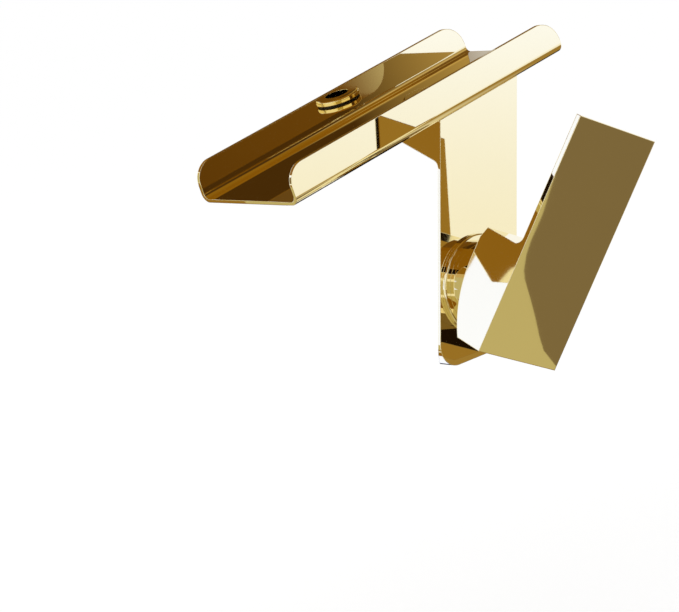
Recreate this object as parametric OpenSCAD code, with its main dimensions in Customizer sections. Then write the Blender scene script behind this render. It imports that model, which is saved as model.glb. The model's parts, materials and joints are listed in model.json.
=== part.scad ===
// Waterfall basin faucet: a leaning post with an open sloping trough on top and
// a side lever. Millimetres, +Z up, -Y towards the basin, +X is the lever side.
// The origin is on the deck, on the axis of the fixing hole.

/* [Trough] */
// Width of the open trough over its walls
trough_w = 62.2; // [50:0.2:76]
// Length of the trough along its slope
trough_l = 163.6; // [140:0.2:190]
// Height of the trough's side walls
trough_h = 16.3; // [14:0.1:20]
// Thickness of the trough's sheet
trough_t = 1.5; // [1.2:0.1:2.5]
// Outside radius between floor and walls
trough_r = 4; // [3:0.25:6]
// Radius of the walls' front top corners
front_r = 8.5; // [4:0.5:10]
// Radius of the walls' back top corners
back_r = 12; // [4:0.5:12]
// Fall of the trough towards the lip, in degrees
slope = 9.7; // [4:0.1:14]
// How far the lip reaches ahead of the base's front edge
lip_reach = 60.6; // [45:0.1:75]
// Height of the lip above the deck
lip_z = 89; // [80:0.1:110]

/* [Post] */
// Backward lean of the post, in degrees
lean = 13.25; // [6:0.25:18]
// Depth of the post at the deck, front to back
post_w = 46.3; // [43:0.1:54]
// Thickness of the post at its back
post_t = 24; // [23.5:0.5:30]
// Thickness of the post's front edge
edge_t = 1.5; // [1.2:0.1:2.2]
// Radius of the post's front bottom corner
base_r = 9; // [4:0.5:10]
// Inset of the post's face from the trough's wall
inset = 2.3; // [1.8:0.1:3.5]
// Rise of the brace under the trough, in degrees
brace_rise = 20.7; // [16:0.1:26]
// Height along the post where the brace starts
brace_p = 88.7; // [82:0.1:92]

/* [Valve] */
// Height of the valve's axis above the deck
valve_z = 30.4; // [28:0.1:36]
// Radius of the escutcheon ring
ring_r = 21.8; // [19.5:0.1:22]
// Thickness of the escutcheon ring
ring_t = 2.2; // [1.8:0.1:2.8]
// Radius of the sleeve round the cartridge
sleeve_r = 19; // [18.5:0.1:19.2]
// How far the sleeve stands out from the post
sleeve_u = 12.8; // [12.2:0.1:12.9]
// Distance of the lever's pivot from the post's face
pivot_u = 8.8; // [8.8:0.1:9.4]

/* [Lever] */
// Width of the lever
lever_w = 45.8; // [40:0.2:52]
// Length of the blade above the pivot
blade_up = 83.2; // [70:0.2:95]
// Length of the lever below the pivot
blade_down = 22.4; // [21:0.1:23]
// Thickness of the blade
blade_t = 2.4; // [1.8:0.1:3]
// Distance of the blade's outer face from the pivot
blade_a = 31.3; // [29:0.1:36]
// Height of the hub's top above the pivot
hub_up = 24.4; // [22:0.1:30]
// Lift of the lever in the photo, in degrees
lift = 19.1; // [19:0.1:19.2]
// Backward swing of the lever in the photo, in degrees
swing = 27.2; // [27:0.1:27.4]

/* [Hidden] */
$fn = 96;
e = 0.01;
big = 300;
// how far a cut runs past the face that it opens
over = 1;
// clearance of a close fit and of an easy one
fit = 0.05;
slack = 0.1;
// the post's outer face; the fixing hole sits on x = 0, y = 0
px = 8;
stud_f = 20.5;
y0 = -stud_f;
post_f = post_w * cos(lean);
// the far side falls away by this much for each millimetre back from the front edge
far_fall = 0.9;
post_back_f = (post_t - edge_t) / far_fall;
trough_x = px + inset - trough_w / 2;
lip_y = y0 - lip_reach;
// valve axis
vy = y0 + valve_z * tan(lean) + post_w / 2;
vz = valve_z;
vf = post_w / 2 * cos(lean);
vp = (vy - y0) * sin(lean) + vz * cos(lean);
// cartridge bore and the boss round it
bore_r = 13;
bore_d = 8;
boss_u = 8.5;
boss_r = 16.2;
// where the post's front edge meets the trough's underside
top_z = (lip_z + lip_reach * tan(slope)) / (1 - tan(lean) * tan(slope));
top_a = (lip_reach + top_z * tan(lean)) / cos(slope);
// outlet nozzle: its place behind the post's front edge, its thread, wall, collar and rim
nozzle_behind = 21;
nozzle_a = top_a + nozzle_behind;
nozzle_r = 8;
nozzle_wall = 2.5;
collar_w = 2.2;
collar_t = 1.2;
rim_r = 1;
socket_d = 9;
// seals above and below the trough's floor
gasket_w = 2.4;
gasket_t = 1;
flat_seal_w = 1.8;
flat_seal_t = 0.8;
// the two threaded inlets and the fixing hole in the foot
inlet_r = 4.5;
inlet_l = 12;
inlet_f = 39.5;
inlet_y = y0 + inlet_f;
inlet_u = [6.6, 17.4];
stud_r = 3.4;
stud_l = 16;
foot_seal = [4.7, 6.5, 1.2];
// rounded rims of the ring and of the sleeve, and the sleeve's cover and mouth
ring_edge = 0.8;
sleeve_edge = 1;
cover_t = 1.2;
mouth_r = 12.5;
ring_seal_w = 1.2;
ring_seal_t = 0.8;
// cartridge: case, base, discs and collar, with heights along the valve's axis
case_r = bore_r - 0.5;
case_in = 10.5;
case_foot = -5;
case_shelf = 4;
case_top = 5.2;
groove = [11.7, -1.2, 0.4];
disc_r = 10.3;
disc_t = 2.4;
slider_r = 7;
slider_t = 2;
pocket_r = 4.2;
pocket_d = 1;
carrier_t = 2.8;
ball_slot = [5.4, 5.8];
collar_u = 2.6;
collar_r = 8.3;
collar_l = 9.2;
flange_r = 10.42;
flange_t = 1.2;
stem_slot = [5.4, 12.8];
nut_r = 14.6;
nut_t = 2.1;
pin_r = 1.2;
pin_l = 16;
// reach of the stem past the pivot, inwards and outwards
stem_down = 6.4;
ball_r = 2.2;
neck_r = 1.8;
neck_l = 3;
stem_end = 22;
stem_w = 4.6;
insert_a = 9.5;
insert_w = 8.4;
insert_t = 1;
grub_a = 20;
grub_r = 2.5;
grub_l = 7.1;
grub_at = 9.4;
grub_key = 1.4;
cap_r = 3.2;
cap_t = 2;
cap_l = 5;
// lever: start of the hub, arc and slope of its back, inner fillet, room for the collar
hub_a = 4.8;
hub_arc = 49.8;
hub_arc_at = 9.5;
hub_cut = [2.6, 7.5];
hub_fillet = 4;
hub_room = [9, 8.4];
// brace: its fillet to the post, how far it could reach, its inset from the trough's side
brace_fillet = 4;
brace_run = 60;
brace_inset = 2;

gold = [0.83, 0.66, 0.32];
brass = [0.72, 0.58, 0.3];
rubber = [0.07, 0.07, 0.07];
plastic = [0.85, 0.85, 0.83];
ceramic = [0.93, 0.92, 0.9];
steel = [0.7, 0.7, 0.7];

// frame of the leaning post: Y across its face, Z up along it
module leaned() { translate([0, y0, 0]) rotate([-lean, 0, 0]) children(); }
// frame of the trough: Y back along its floor, Z square to it
module sloped() { translate([trough_x, lip_y, lip_z]) rotate([slope, 0, 0]) children(); }
// frame of the valve: Z outwards from the post's face
module valve() { translate([px, vy, vz]) rotate([0, 90, 0]) children(); }
// frame that swings with the lever: X outwards, Z up the lever's track
module swung() { translate([px, vy, vz]) rotate([-swing, 0, 0]) children(); }
// frame that swings and lifts: X out of the pivot, Y across, Z up the blade
module lifted() { swung() translate([pivot_u, 0, 0]) rotate([0, lift, 0]) children(); }

module tube(r1, r2, z1, z2) {
  translate([0, 0, z1]) difference() {
    cylinder(r = r1, h = z2 - z1);
    translate([0, 0, -over]) cylinder(r = r2, h = z2 - z1 + 2 * over);
  }
}

// a straight round passage between two points, run on a little at both ends
module passage(a, b, r) {
  d = b - a;
  l = norm(d);
  translate(a) rotate([0, acos(d[2] / l), atan2(d[1], d[0])]) translate([0, 0, -r / 2]) cylinder(r = r, h = l + r);
}

// leaned coordinates to the object's own
function from_lean(x, f, p) = [x, y0 + f * cos(lean) + p * sin(lean), -f * sin(lean) + p * cos(lean)];
function from_slope(x, a, b) = [trough_x + x, lip_y + a * cos(slope) - b * sin(slope), lip_z + a * sin(slope) + b * cos(slope)];

// the trough's U section, as a filled outline of width w, height h and corner r
module u_shape(w, h, r) {
  translate([-w / 2, r]) square([w, h - r]);
  translate([-w / 2 + r, 0]) square([w - 2 * r, r + e]);
  for (s = [-1, 1]) translate([s * (w / 2 - r), r]) circle(r = r);
}

module along_trough(l) { translate([0, l, 0]) rotate([90, 0, 0]) linear_extrude(height = l) children(); }

// side outline of the walls with rounded top corners
module wall_outline() {
  difference() {
    square([trough_l, trough_h]);
    translate([-over, trough_h - front_r]) square([front_r + over, front_r + over]);
    translate([trough_l - back_r, trough_h - back_r]) square([back_r + over, back_r + over]);
  }
  translate([front_r, trough_h - front_r]) circle(r = front_r);
  translate([trough_l - back_r, trough_h - back_r]) circle(r = back_r);
}

module trough() {
  color(gold) sloped() difference() {
    intersection() {
      along_trough(trough_l) difference() {
        u_shape(trough_w, trough_h + over, trough_r);
        translate([0, trough_t]) u_shape(trough_w - 2 * trough_t, trough_h + 2 * over, trough_r - trough_t);
      }
      translate([-trough_w / 2 - over, 0, 0]) rotate([90, 0, 90])
        linear_extrude(height = trough_w + 2 * over) wall_outline();
    }
    translate([0, nozzle_a, -over]) cylinder(r = nozzle_r + slack, h = trough_t + 2 * over);
  }
}

// plan of the post: flat outer face, thin front edge, its far side cut back
module post_plan() {
  polygon([[px, 0], [px, post_f], [px - post_t, post_f], [px - post_t, post_back_f], [px - edge_t, 0]]);
}

// brace that widens under the trough, seen from the front
module brace_front() {
  run = brace_run;
  fr = brace_fillet;
  cx = px - edge_t;
  half = (90 + brace_rise) / 2;
  t = fr / tan(half);
  polygon([[px, brace_p - fr], [px, brace_p + run], [cx - run, brace_p + run],
    [cx - run, brace_p + run * tan(brace_rise)], [cx, brace_p], [cx, brace_p - fr]]);
  difference() {
    polygon([[cx + e, brace_p], [cx + e, brace_p - t], [cx - fr, brace_p - t],
      [cx - t * cos(brace_rise), brace_p + t * sin(brace_rise) + e]]);
    translate([cx - fr, brace_p - t]) circle(r = fr);
  }
}

module body_solid() {
  leaned() {
    translate([0, 0, -post_w]) linear_extrude(height = lip_z + trough_l) post_plan();
    intersection() {
      translate([0, post_f, 0]) rotate([90, 0, 0]) linear_extrude(height = post_f) brace_front();
      translate([trough_x - trough_w / 2 + trough_r - brace_inset, -over, 0]) cube([trough_w, post_f + 2 * over, big]);
    }
  }
}

// material outside the rounded front bottom corner
module base_corner() {
  tl = base_r * (1 + sin(lean)) / cos(lean);
  translate([px - post_t - over, 0, 0]) rotate([90, 0, 90]) linear_extrude(height = post_t + 2 * over) difference() {
    polygon([[y0 - over, -over], [y0 + tl, -over], [y0 + tl, base_r],
      [y0 + tl * sin(lean), tl * cos(lean)], [y0 + tl * sin(lean) - over, tl * cos(lean)]]);
    translate([y0 + tl, base_r]) circle(r = base_r);
  }
}

// passages from the deck to the valve and from the valve to the trough
port_r = 2.3;
port_at = 6.5;
hole_r = 2;
port_seal_r = 2.85;
port_seal_t = 1;
port_d = 12;
port_end = 0.5;
port_out = from_lean(px - port_d - port_end, vf, vp + port_at);
port_a = from_lean(px - port_d, vf + port_at * cos(30), vp - port_at * sin(30));
port_b = from_lean(px - port_d, vf - port_at * cos(30), vp - port_at * sin(30));
rise_r = 2.7;
neck_at = [14, 30, 2];
neck = from_lean(px - neck_at[0], neck_at[1], brace_p + neck_at[2]);

module ways() {
  for (p = [port_out, port_a, port_b]) translate([px - bore_d + over, p[1], p[2]])
    rotate([0, -90, 0]) cylinder(r = port_r, h = port_d - bore_d + port_end + over);
  passage([px - inlet_u[0], inlet_y, inlet_l - over], port_a, port_r);
  passage([px - inlet_u[1], inlet_y, inlet_l - over], port_b, port_r);
  passage(port_out, neck, rise_r);
  passage(neck, from_slope(0, nozzle_a, -socket_d + 2 * over), rise_r);
}

module body() {
  color(gold) difference() {
    union() {
      difference() {
        body_solid();
        translate([-big / 2, -big / 2, -big]) cube([big, big, big]);
        base_corner();
        sloped() translate([0, -big / 2, 0]) along_trough(2 * big) u_shape(trough_w, big, trough_r);
      }
      valve() translate([0, 0, -over]) cylinder(r = boss_r, h = boss_u + over);
    }
    valve() translate([0, 0, -bore_d]) cylinder(r = bore_r, h = bore_d + boss_u + over);
    ways();
    for (w = inlet_u) translate([px - w, inlet_y, -over]) cylinder(r = inlet_r, h = inlet_l + over);
    translate([0, 0, -over]) cylinder(r = stud_r, h = stud_l + over);
    // recess for the deck seal
    tube(foot_seal[1] + slack, foot_seal[0] - slack, -over, foot_seal[2]);
    sloped() translate([0, nozzle_a, -socket_d]) cylinder(r = nozzle_r, h = socket_d + over);
    sloped() translate([0, nozzle_a, -gasket_t]) cylinder(r = nozzle_r + gasket_w + slack, h = gasket_t + over);
  }
}

module trough_gasket() {
  color(rubber) sloped() translate([0, nozzle_a, 0]) tube(nozzle_r + gasket_w, nozzle_r + slack, -gasket_t, 0);
}

// screwed into the head, with a low collar that holds the trough's floor down
module outlet_nozzle() {
  color(gold) sloped() translate([0, nozzle_a, 0]) difference() {
    union() {
      translate([0, 0, -socket_d]) cylinder(r = nozzle_r - fit, h = socket_d + trough_t + flat_seal_t + collar_t / 2);
      translate([0, 0, trough_t + flat_seal_t]) rotate_extrude() {
        square([nozzle_r + collar_w, collar_t]);
        translate([0, collar_t]) square([nozzle_r + collar_w - rim_r, rim_r]);
        translate([nozzle_r + collar_w - rim_r, collar_t]) circle(r = rim_r, $fn = 48);
      }
    }
    translate([0, 0, -socket_d - over]) cylinder(r = nozzle_r - nozzle_wall, h = 2 * socket_d);
  }
}

module nozzle_seal() {
  color(rubber) sloped() translate([0, nozzle_a, trough_t])
    tube(nozzle_r + flat_seal_w, nozzle_r + 2 * slack, 0, flat_seal_t);
}

module deck_seal() { color(rubber) tube(foot_seal[1], foot_seal[0], 0, foot_seal[2]); }

module ring() {
  color(gold) valve() difference() {
    rotate_extrude() {
      square([ring_r, ring_t - ring_edge]);
      square([ring_r - ring_edge, ring_t]);
      translate([ring_r - ring_edge, ring_t - ring_edge]) circle(r = ring_edge, $fn = 48);
    }
    translate([0, 0, -over]) cylinder(r = boss_r + slack, h = ring_t + 2 * over);
    translate([0, 0, -over]) cylinder(r = boss_r + ring_seal_w + slack, h = ring_seal_t + over);
  }
}

module ring_seal() { color(rubber) valve() tube(boss_r + ring_seal_w, boss_r + slack, 0, ring_seal_t); }

module sleeve() {
  color(gold) valve() {
    difference() {
      rotate_extrude() {
        translate([0, ring_t]) square([sleeve_r, sleeve_u - ring_t - sleeve_edge]);
        translate([0, sleeve_u - sleeve_edge]) square([sleeve_r - sleeve_edge, sleeve_edge]);
        translate([sleeve_r - sleeve_edge, sleeve_u - sleeve_edge]) circle(r = sleeve_edge, $fn = 48);
      }
      translate([0, 0, ring_t - over]) cylinder(r = boss_r + slack, h = sleeve_u - ring_t - cover_t + over);
      translate([0, 0, ring_t]) cylinder(r = mouth_r, h = sleeve_u);
    }
  }
}

module retaining_nut() {
  color(brass) valve() difference() {
    union() {
      translate([0, 0, case_top]) cylinder(r = bore_r - fit, h = boss_u - case_top + e);
      translate([0, 0, boss_u]) cylinder(r = nut_r, h = nut_t, $fn = 6);
    }
    cylinder(r = collar_r + 4 * slack, h = 2 * (boss_u + nut_t));
  }
}

module cartridge_housing() {
  color(plastic) valve() difference() {
    translate([0, 0, case_foot]) cylinder(r = case_r, h = case_top - case_foot);
    translate([0, 0, case_foot - over]) cylinder(r = case_in, h = case_shelf - case_foot + over);
    cylinder(r = collar_r + 4 * slack, h = 2 * case_top);
    // groove for the seal
    tube(case_r + over, groove[0], groove[1], groove[2]);
  }
}

module housing_seal() {
  color(rubber) valve() tube(bore_r - fit, groove[0] + fit, groove[1] + fit, groove[2] - fit);
}

module port_holes(r, z1, z2) {
  // the valve frame's X points down, so the post's direction is turned in
  for (k = [0, 1, 2]) {
    f = [0, port_at * cos(30), -port_at * cos(30)][k];
    p = [port_at, -port_at * sin(30), -port_at * sin(30)][k];
    translate([f * sin(lean) - p * cos(lean), f * cos(lean) + p * sin(lean), z1]) cylinder(r = r, h = z2 - z1);
  }
}

module cartridge_base() {
  color(plastic) valve() difference() {
    translate([0, 0, -bore_d]) cylinder(r = case_r, h = bore_d + case_foot);
    port_holes(hole_r, -bore_d - over, case_foot + over);
    port_holes(port_seal_r + fit, -bore_d - over, -bore_d + port_seal_t);
  }
}

module port_seals() {
  color(rubber) valve() difference() {
    port_holes(port_seal_r, -bore_d, -bore_d + port_seal_t);
    port_holes(hole_r - slack, -bore_d - over, -bore_d + port_seal_t + over);
  }
}

module fixed_disc() {
  color(ceramic) valve() difference() {
    translate([0, 0, case_foot]) cylinder(r = disc_r, h = disc_t);
    port_holes(hole_r, case_foot - over, case_foot + disc_t + over);
  }
}

// the shift of the sliding disc while the lever is lifted as in the photo
disc_shift = stem_down * sin(lift);
slider_u = case_foot + disc_t;
carrier_u = slider_u + slider_t;

module moving_disc() {
  color(ceramic) swung() translate([slider_u, 0, disc_shift]) rotate([0, 90, 0]) difference() {
    cylinder(r = slider_r, h = slider_t);
    translate([0, 0, -e]) cylinder(r = pocket_r, h = pocket_d);
  }
}

module disc_carrier() {
  color(plastic) swung() translate([carrier_u, 0, disc_shift]) difference() {
    rotate([0, 90, 0]) cylinder(r = slider_r, h = carrier_t);
    translate([-carrier_u, -ball_slot[0] / 2, -ball_slot[1] / 2]) cube([carrier_t + over, ball_slot[0], ball_slot[1]]);
  }
}

module stem_collar() {
  color(plastic) swung() difference() {
    union() {
      translate([collar_u, 0, 0]) rotate([0, 90, 0]) cylinder(r = flange_r, h = flange_t);
      translate([collar_u, 0, 0]) rotate([0, 90, 0]) cylinder(r = collar_r, h = collar_l);
    }
    translate([collar_u - over, -stem_slot[0] / 2, -stem_slot[1] / 2])
      cube([collar_l + 2 * over, stem_slot[0], stem_slot[1]]);
    translate([pivot_u, -flange_r - over, 0]) rotate([-90, 0, 0]) cylinder(r = pin_r + fit, h = 2 * (flange_r + over));
  }
}

module stem_pin() {
  color(steel) lifted() translate([0, -pin_l / 2, 0]) rotate([-90, 0, 0]) cylinder(r = pin_r, h = pin_l);
}

module stem() {
  color(brass) lifted() difference() {
    union() {
      translate([-stem_down + neck_l - over, -stem_w / 2, -stem_w / 2]) cube([stem_down - neck_l + over + stem_end, stem_w, stem_w]);
      translate([-stem_down, 0, 0]) rotate([0, 90, 0]) rotate_extrude() {
        intersection() {
          circle(r = ball_r, $fn = 64);
          translate([0, -ball_r]) square([ball_r, 2 * ball_r]);
        }
        square([neck_r, neck_l]);
      }
    }
    translate([0, -stem_w, 0]) rotate([-90, 0, 0]) cylinder(r = pin_r, h = 2 * stem_w);
  }
}

module stem_insert() {
  color(plastic) lifted() difference() {
    translate([insert_a, -insert_w / 2, -insert_w / 2]) cube([stem_end + insert_t - insert_a, insert_w, insert_w]);
    translate([insert_a - over, -stem_w / 2 - fit, -stem_w / 2 - fit])
      cube([stem_end + fit - insert_a + over, stem_w + 2 * fit, stem_w + 2 * fit]);
    translate([grub_a, 0, -insert_w]) cylinder(r = grub_r + slack, h = insert_w);
  }
}

// end outline of the lever: hub below, blade above, hub's back cut to clear the sleeve
module lever_outline() {
  fr = hub_fillet;
  ia = blade_a - blade_t;
  difference() {
    union() {
      translate([hub_a, -blade_down]) square([blade_a - hub_a, blade_down + hub_up]);
      translate([ia, 0]) square([blade_t, blade_up]);
      difference() {
        translate([ia - fr, hub_up - e]) square([fr + e, fr]);
        translate([ia - fr, hub_up + fr]) circle(r = fr);
      }
    }
    difference() {
      translate([hub_a - over, -blade_down - over]) square([(blade_a - hub_a) / 2, blade_down + hub_arc_at + over]);
      translate([hub_a + hub_arc, hub_arc_at]) circle(r = hub_arc, $fn = 256);
    }
    polygon([[hub_a - over, hub_up - hub_cut[1]], [hub_a - over, hub_up + over], [hub_a + hub_cut[0], hub_up + over]]);
  }
}

module lever() {
  color(gold) lifted() difference() {
    translate([0, lever_w / 2, 0]) rotate([90, 0, 0]) linear_extrude(height = lever_w) lever_outline();
    translate([0, -insert_w / 2 - fit, -insert_w / 2 - fit])
      cube([stem_end + insert_t + fit, insert_w + 2 * fit, insert_w + 2 * fit]);
    translate([grub_a, 0, -blade_down - over]) cylinder(r = grub_r + slack, h = blade_down);
    translate([grub_a, 0, -blade_down - over]) cylinder(r = cap_r + slack, h = cap_t + slack + over);
    // room for the valve's collar in the back of the hub
    translate([-over, 0, 0]) rotate([0, 90, 0]) cylinder(r = hub_room[0], h = hub_room[1] + over);
  }
}

module grub_screw() {
  color(steel) lifted() translate([grub_a, 0, 0]) difference() {
    translate([0, 0, -grub_at]) cylinder(r = grub_r, h = grub_l);
    translate([0, 0, -grub_at - over]) cylinder(r = grub_key, h = grub_l / 2, $fn = 6);
  }
}

module grub_cap() {
  color(gold) lifted() translate([grub_a, 0, -blade_down]) {
    cylinder(r = cap_r, h = cap_t);
    cylinder(r = grub_r, h = cap_l);
  }
}

body();
trough();
trough_gasket();
outlet_nozzle();
nozzle_seal();
deck_seal();
ring();
ring_seal();
sleeve();
retaining_nut();
cartridge_housing();
housing_seal();
cartridge_base();
port_seals();
fixed_disc();
moving_disc();
disc_carrier();
stem_collar();
stem_pin();
stem();
stem_insert();
lever();
grub_screw();
grub_cap();
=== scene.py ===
# Looks of the waterfall basin faucet: polished gold in a white studio, seen from the
# photograph's place. Metres, in the part's own frame.
import json
import math

import bpy
from mathutils import Matrix, Vector


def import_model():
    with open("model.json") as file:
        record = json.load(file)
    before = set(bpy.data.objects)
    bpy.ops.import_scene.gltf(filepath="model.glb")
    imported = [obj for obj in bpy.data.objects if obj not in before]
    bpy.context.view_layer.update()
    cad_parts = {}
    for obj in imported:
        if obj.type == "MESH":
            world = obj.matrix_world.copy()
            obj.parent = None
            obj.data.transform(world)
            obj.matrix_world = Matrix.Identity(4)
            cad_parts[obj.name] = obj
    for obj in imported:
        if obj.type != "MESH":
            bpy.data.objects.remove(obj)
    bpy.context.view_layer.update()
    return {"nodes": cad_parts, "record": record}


MM = 0.001
WHITE = (1, 1, 1, 1)

# Camera: where the photograph was taken from; lens and sensor in millimetres
CAM_TARGET = Vector((-25.4, -41.1, 33.5)) * MM
CAM_AZIMUTH = math.radians(-38.89)
CAM_ELEVATION = math.radians(12.80)
CAM_ROLL = math.radians(-10.55)
CAM_DISTANCE = 1062.9 * MM
CAM_LENS = 132.15
CAM_SENSOR = 36
CAM_CLIP_END = 20

# Studio: floor, white surroundings and one softbox
FLOOR_Z = -155 * MM
FLOOR_SIZE = 8.0
FLOOR_ALBEDO = 0.8
FLOOR_GLOW = 0.2
WORLD_STRENGTH = 1.0
SOFTBOX_FROM = Vector((-0.72, -0.57, 0.40))
SOFTBOX_DISTANCE = 1.3
SOFTBOX_SIZE = 0.4
SOFTBOX_POWER = 0.9

# Colours of painted reflections: glowing cards that only the gloss sees
BROWN = (0.218, 0.159, 0.075)
OLIVE = (0.551, 0.476, 0.230)
RED_BROWN = (0.27, 0.125, 0.008)
AMBER = (0.36, 0.22, 0.05)
HONEY = (0.58, 0.41, 0.16)
# DEEP, SHADE and NIGHT are painted shade in the reflections
DEEP = (0.18, 0.088, 0.015)
SHADE = (0.07, 0.032, 0.006)
NIGHT = (0.012, 0.006, 0.002)
GREY = (0.60, 0.58, 0.60)
CREAM = (0.78, 0.70, 0.48)
PALE = (1.0, 1.0, 1.0)
# BRIGHT and LAMP glow brighter than white and are painted highlights
BRIGHT = (1.07, 1.15, 1.50)
LAMP = (1.05, 1.16, 1.70)

# Cards in millimetres, all painted reflections. Boxes: name, two opposite corners, then one colour or one
# for each corner
LEVEL_Z = -150
# Level cards below the object paint the reflections in its downward-facing gloss; the NIGHT card is
# painted shade
LEVEL_CARDS = (
    ("under_right", (-100, -70, 385, 280), BROWN),
    ("under_right_side", (385, -70, 520, 280), CREAM),
    ("under_right_back", (-100, 280, 520, 400), CREAM, CREAM, AMBER, AMBER),
    ("under_right_far", (-100, 400, 520, 600), AMBER),
    ("under_right_end", (520, -70, 650, 600), CREAM),
    ("under_far", (650, 700, 1900, 1650), PALE, PALE, BRIGHT, BRIGHT),
    ("under_front", (0, -700, 650, -70), OLIVE),
    ("under_left_front", (-1000, -1000, 0, -120), AMBER, RED_BROWN, RED_BROWN, AMBER),
    ("under_left_back", (-1000, -120, -100, 1000), NIGHT),
)
# Upright cards behind the object paint its reflections there; the SHADE, DEEP and NIGHT ones are painted
# shade
BACK_Y = 550
BACK_CARDS = (
    ("back_left", (-1500, 250, -620, 1000), SHADE, DEEP, DEEP, SHADE),
    ("back_middle", (-620, 250, 300, 1000), DEEP),
    ("back_warm", (300, 250, 480, 1000), HONEY),
    ("back_right", (480, 250, 700, 1000), HONEY, SHADE, SHADE, HONEY),
    ("back_far_right", (700, 250, 1500, 1000), SHADE),
    ("back_low", (-1500, 100, 20, 250), AMBER),
)
# Marks just before the back cards: dark is painted shade in a reflection, grey a painted grey reflection
MARK_Y = 549
MARKS = (
    ("grey", (-680, 390, -600, 432), DEEP, GREY, GREY, DEEP),
    ("dark", (20, 247, 90, 290), NIGHT),
)
CEILING_Z = 1000
CEILING_HALF = 1300
LEFT_X = -1050
LEFT_LOW = 620

# Patches of painted reflection just over the level cards: name, colour, outline in x and y. Corner, in
# LAMP, is a painted highlight, and hub, in PALE, a painted white reflection
PATCH_Z = -149
PATCHES = (
    ("olive", OLIVE, ((310, 190), (281, 167), (262, 150), (252, 142), (241, 135), (234, 132), (220, 128),
                      (204, 123), (192, 119), (181, 116), (165, 117), (180, 60), (190, -70), (310, -70))),
    ("amber", AMBER, ((160, 117), (90, 120), (90, 30), (180, 30))),
    ("foot", AMBER, ((405, 330), (500, 330), (500, 440), (405, 440))),
    ("corner", LAMP, ((-150, -120), (-150, 90), (-290, 90), (-290, -120))),
    ("hub", PALE, ((-365, -262), (-348, -251), (-326, -236.5), (-300, -226), (-300, -330), (-365, -330))),
)

# Painted reflection cards aimed at the camera's target: name, azimuth, elevation, half width, half
# height, colour. Front_high, in NIGHT, is painted shade
AIMED_AWAY = 1350
AIMED_CARDS = (
    ("front_high", -34, 29.5, 140, 85, NIGHT),
    ("front_middle", -34, 21.5, 140, 90, HONEY),
    ("side_high", -15, 40, 450, 140, RED_BROWN),
    ("front_low", -38.9, -3, 450, 400, OLIVE),
)

# Upright sheet to the left, with a strip before it, all painted reflections: name, colour, outline across
# and up. The LAMP pieces are painted highlights, lamp standing in for the softbox's reflection
SHEET_AZIMUTH = -139
SHEET_AWAY = 350
SHEET = (
    ("low", OLIVE, ((45, -75), (45, 120), (36, 150), (20, 156), (12, 166), (4, 178), (-6, 178), (-3, 150),
                    (5, 110), (5, -75))),
    ("middle", HONEY, ((4, 178), (0.5, 190), (0, 222), (-22, 222), (-12, 190), (-6, 178))),
    ("high", RED_BROWN, ((0, 222), (-10, 246), (-50, 306), (-66, 330), (-100, 330), (-84, 306), (-46, 252),
                    (-22, 222))),
    ("side", BROWN, ((46, 60), (90, 60), (90, 200), (46, 200))),
    ("lamp", LAMP, ((0, 215), (0.5, 190), (4, 178), (12, 166), (20, 156), (44, 156), (44, 215))),
    ("blade", LAMP, ((2, 272), (24, 272), (24, 345), (2, 345))),
)
STRIP_AWAY = 349
STRIP = (
    ("strip", LAMP, ((11, 134), (15.2, 134), (30.6, 34), (26.8, 34))),
)

# Kinds of surface: each noise is its waves per metre and its detail
EDGE_RADIUS = 0.35 * MM
EDGE_SAMPLES = 8
METAL = {"metallic": 1.0, "dark": 0.97, "tint": (35, 3), "gloss": (90, 5), "bump_detail": 1}
MOULDED = {"metallic": 0.0, "dark": 0.9, "tint": (60, 3), "gloss": (150, 4), "bump_detail": 2}

# Finish of each slot: kind, colour, roughness range, bump's waves per metre, height and stretch
EVEN = (1, 1, 1)
FINISHES = {
    "polished_gold": (METAL, (0.94, 0.85, 0.56), (0.012, 0.035), 25, 0.02 * MM, EVEN),
    "raw_brass": (METAL, (0.78, 0.60, 0.30), (0.22, 0.38), 900, 0.01 * MM, (6, 1, 1)),
    "black_rubber": (MOULDED, (0.018, 0.018, 0.02), (0.55, 0.75), 1500, 0.02 * MM, EVEN),
    "white_plastic": (MOULDED, (0.80, 0.80, 0.78), (0.35, 0.5), 700, 0.01 * MM, EVEN),
    "ceramic": (MOULDED, (0.86, 0.84, 0.80), (0.08, 0.16), 300, 0.002 * MM, EVEN),
    "steel": (METAL, (0.62, 0.62, 0.63), (0.18, 0.32), 1200, 0.005 * MM, (1, 5, 1)),
}

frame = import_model()
nodes = frame["nodes"]


def new_material(name):
    """A material with its tree and Principled shader."""
    mat = bpy.data.materials.new(name)
    mat.use_nodes = True
    tree = mat.node_tree
    return mat, tree, tree.nodes["Principled BSDF"]


def noise(tree, waves, detail, stretch=EVEN):
    """Noise in the part's own coordinates, with waves per metre."""
    coords = tree.nodes.new("ShaderNodeTexCoord")
    mapping = tree.nodes.new("ShaderNodeMapping")
    mapping.inputs["Scale"].default_value = stretch
    texture = tree.nodes.new("ShaderNodeTexNoise")
    texture.inputs["Scale"].default_value = waves
    texture.inputs["Detail"].default_value = detail
    tree.links.new(coords.outputs["Object"], mapping.inputs["Vector"])
    tree.links.new(mapping.outputs["Vector"], texture.inputs["Vector"])
    return texture.outputs["Fac"]


def spread(tree, value, low, high):
    """Maps a 0 to 1 value to low to high."""
    node = tree.nodes.new("ShaderNodeMapRange")
    node.inputs["To Min"].default_value = low
    node.inputs["To Max"].default_value = high
    tree.links.new(value, node.inputs["Value"])
    return node.outputs["Result"]


def tint(tree, value, low, high):
    """Mixes two colours by a value."""
    node = tree.nodes.new("ShaderNodeMix")
    node.data_type = "RGBA"
    node.inputs["A"].default_value = (*low, 1)
    node.inputs["B"].default_value = (*high, 1)
    tree.links.new(value, node.inputs["Factor"])
    return node.outputs["Result"]


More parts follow.
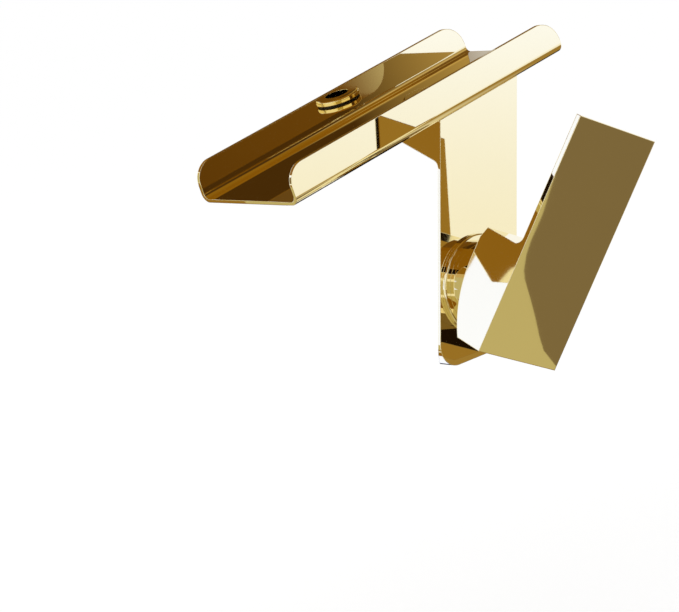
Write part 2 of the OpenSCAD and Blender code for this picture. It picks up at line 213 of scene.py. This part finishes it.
def rounded(tree):
    """Normals rounded over every sharp edge."""
    node = tree.nodes.new("ShaderNodeBevel")
    node.samples = EDGE_SAMPLES
    node.inputs["Radius"].default_value = EDGE_RADIUS
    return node.outputs["Normal"]


def bump(tree, height, depth, normal):
    """Raises the surface by depth metres where height is 1."""
    node = tree.nodes.new("ShaderNodeBump")
    node.inputs["Distance"].default_value = depth
    tree.links.new(height, node.inputs["Height"])
    tree.links.new(normal, node.inputs["Normal"])
    return node.outputs["Normal"]


def finish(name, kind, colour, roughness, waves, depth, stretch):
    """Material of one slot, slightly uneven in colour, gloss and surface."""
    mat, tree, shader = new_material(name)
    shader.inputs["Metallic"].default_value = kind["metallic"]
    dark = [channel * kind["dark"] for channel in colour]
    base = tint(tree, noise(tree, *kind["tint"]), dark, colour)
    gloss = spread(tree, noise(tree, *kind["gloss"], stretch), *roughness)
    normal = bump(tree, noise(tree, waves, kind["bump_detail"], stretch), depth, rounded(tree))
    tree.links.new(base, shader.inputs["Base Color"])
    tree.links.new(gloss, shader.inputs["Roughness"])
    tree.links.new(normal, shader.inputs["Normal"])
    return mat


def dress_nodes():
    """Every CAD node takes the material of its slot."""
    made = {}
    for part in frame["record"]["subparts"]:
        slot = part["material_slot"]
        if slot not in made:
            made[slot] = finish(slot, *FINISHES[slot])
        data = nodes[part["node"]].data
        data.materials.clear()
        data.materials.append(made[slot])


def flat_mesh(name, corners, mat):
    """One flat face of the studio."""
    data = bpy.data.meshes.new(name)
    data.from_pydata(corners, [], [tuple(range(len(corners)))])
    data.materials.append(mat)
    obj = bpy.data.objects.new(name, data)
    bpy.context.collection.objects.link(obj)
    return obj


def level(x0, y0, x1, y1, z):
    """Corners of a level rectangle."""
    return [(x0, y0, z), (x1, y0, z), (x1, y1, z), (x0, y1, z)]


def upright(x0, z0, x1, z1, y):
    """Corners of a rectangle that stands across the depth."""
    return [(x0, y, z0), (x1, y, z0), (x1, y, z1), (x0, y, z1)]


def aim(azimuth, elevation):
    """Directions out to a place at these angles, to its right and up."""
    flat = math.cos(elevation)
    out = Vector((flat * math.cos(azimuth), flat * math.sin(azimuth), math.sin(elevation)))
    right = Vector((-math.sin(azimuth), math.cos(azimuth), 0))
    return out, right, out.cross(right)


def glow_material():
    """Glow in the colour of the mesh's corners, for painted reflections."""
    mat, tree, shader = new_material("card")
    tree.nodes.remove(shader)
    glow = tree.nodes.new("ShaderNodeEmission")
    paint = tree.nodes.new("ShaderNodeVertexColor")
    paint.layer_name = "paint"
    tree.links.new(paint.outputs["Color"], glow.inputs["Color"])
    tree.links.new(glow.outputs["Emission"], tree.nodes["Material Output"].inputs["Surface"])
    return mat


def card(name, corners, colours, mat):
    """A painted reflection card that only shows in the gloss of the object, in one colour or one for each
    corner.
    """
    if len(colours) == 1:
        colours = colours * len(corners)
    obj = flat_mesh(name, [Vector(corner) * MM for corner in corners], mat)
    paint = obj.data.color_attributes.new("paint", "FLOAT_COLOR", "POINT")
    for point, colour in zip(paint.data, colours):
        point.color = (*colour, 1)
    obj.visible_camera = False
    obj.visible_diffuse = False
    obj.visible_shadow = False


def cards():
    """All the painted reflection cards, from below and behind round to the camera's side and the left."""
    mat = glow_material()
    for name, box, *colours in LEVEL_CARDS:
        card(name, level(*box, LEVEL_Z), colours, mat)
    for name, colour, outline in PATCHES:
        card("patch_" + name, [(x, y, PATCH_Z) for x, y in outline], [colour], mat)
    for y, boxes in ((BACK_Y, BACK_CARDS), (MARK_Y, MARKS)):
        for name, box, *colours in boxes:
            card(name, upright(*box, y), colours, mat)
    half = CEILING_HALF
    card("ceiling", level(-half, -half, half, BACK_Y, CEILING_Z), [RED_BROWN], mat)
    low = [(LEFT_X, -half, LEFT_LOW), (LEFT_X, BACK_Y, LEFT_LOW)]
    high = [(LEFT_X, BACK_Y, CEILING_Z), (LEFT_X, -half, CEILING_Z)]
    card("left_high", low + high, [RED_BROWN], mat)
    for name, azimuth, elevation, wide, tall, colour in AIMED_CARDS:
        out, right, up = aim(math.radians(azimuth), math.radians(elevation))
        middle = CAM_TARGET / MM + out * AIMED_AWAY
        signs = ((-1, -1), (1, -1), (1, 1), (-1, 1))
        card(name, [middle + right * wide * a + up * tall * b for a, b in signs], [colour], mat)
    out, right, up = aim(math.radians(SHEET_AZIMUTH), 0)
    for away, outlines in ((SHEET_AWAY, SHEET), (STRIP_AWAY, STRIP)):
        for name, colour, outline in outlines:
            corners = [out * away + right * across + up * high for across, high in outline]
            card("sheet_" + name, corners, [colour], mat)


def floor():
    """A pale floor that reads as white and keeps what shade falls on it."""
    mat, tree, shader = new_material("floor")
    shader.inputs["Base Color"].default_value = (FLOOR_ALBEDO, FLOOR_ALBEDO, FLOOR_ALBEDO, 1)
    shader.inputs["Roughness"].default_value = 1.0
    shader.inputs["Specular IOR Level"].default_value = 0.0
    shader.inputs["Emission Color"].default_value = WHITE
    path = tree.nodes.new("ShaderNodeLightPath")
    total = path.outputs["Is Camera Ray"]
    for name in ("Is Glossy Ray", "Is Transmission Ray"):
        join = tree.nodes.new("ShaderNodeMath")
        join.operation = "MAXIMUM"
        tree.links.new(total, join.inputs[0])
        tree.links.new(path.outputs[name], join.inputs[1])
        total = join.outputs["Value"]
    tree.links.new(spread(tree, total, 0.0, FLOOR_GLOW), shader.inputs["Emission Strength"])
    half = FLOOR_SIZE / 2
    flat_mesh("floor", level(-half, -half, half, half, FLOOR_Z), mat)


def softbox():
    """One soft lamp for the diffuse light; the gloss doesn't see it, and painted highlight cards stand in
    its place.
    """
    data = bpy.data.lights.new("softbox", "AREA")
    data.shape = "SQUARE"
    data.size = SOFTBOX_SIZE
    data.energy = SOFTBOX_POWER
    lamp = bpy.data.objects.new("softbox", data)
    bpy.context.collection.objects.link(lamp)
    away = SOFTBOX_FROM.normalized()
    lamp.location = away * SOFTBOX_DISTANCE
    lamp.rotation_euler = away.to_track_quat("Z", "Y").to_euler()
    lamp.visible_camera = False
    lamp.visible_glossy = False


def world():
    """White surroundings."""
    studio = bpy.data.worlds.new("studio")
    bpy.context.scene.world = studio
    studio.use_nodes = True
    back = studio.node_tree.nodes["Background"]
    back.inputs["Color"].default_value = WHITE
    back.inputs["Strength"].default_value = WORLD_STRENGTH


def camera():
    """The camera at the photograph's place, rolled as it was."""
    data = bpy.data.cameras.new("camera")
    data.lens = CAM_LENS
    data.sensor_width = CAM_SENSOR
    data.clip_end = CAM_CLIP_END
    cam = bpy.data.objects.new("camera", data)
    bpy.context.collection.objects.link(cam)
    back, right, up = aim(CAM_AZIMUTH, CAM_ELEVATION)
    roll = Matrix.Rotation(CAM_ROLL, 3, back)
    turn = Matrix((roll @ right, roll @ up, back)).transposed()
    cam.matrix_world = Matrix.Translation(CAM_TARGET + back * CAM_DISTANCE) @ turn.to_4x4()
    bpy.context.scene.camera = cam


camera()
world()
floor()
softbox()
cards()
dress_nodes()
bpy.context.scene.view_settings.view_transform = "Standard"
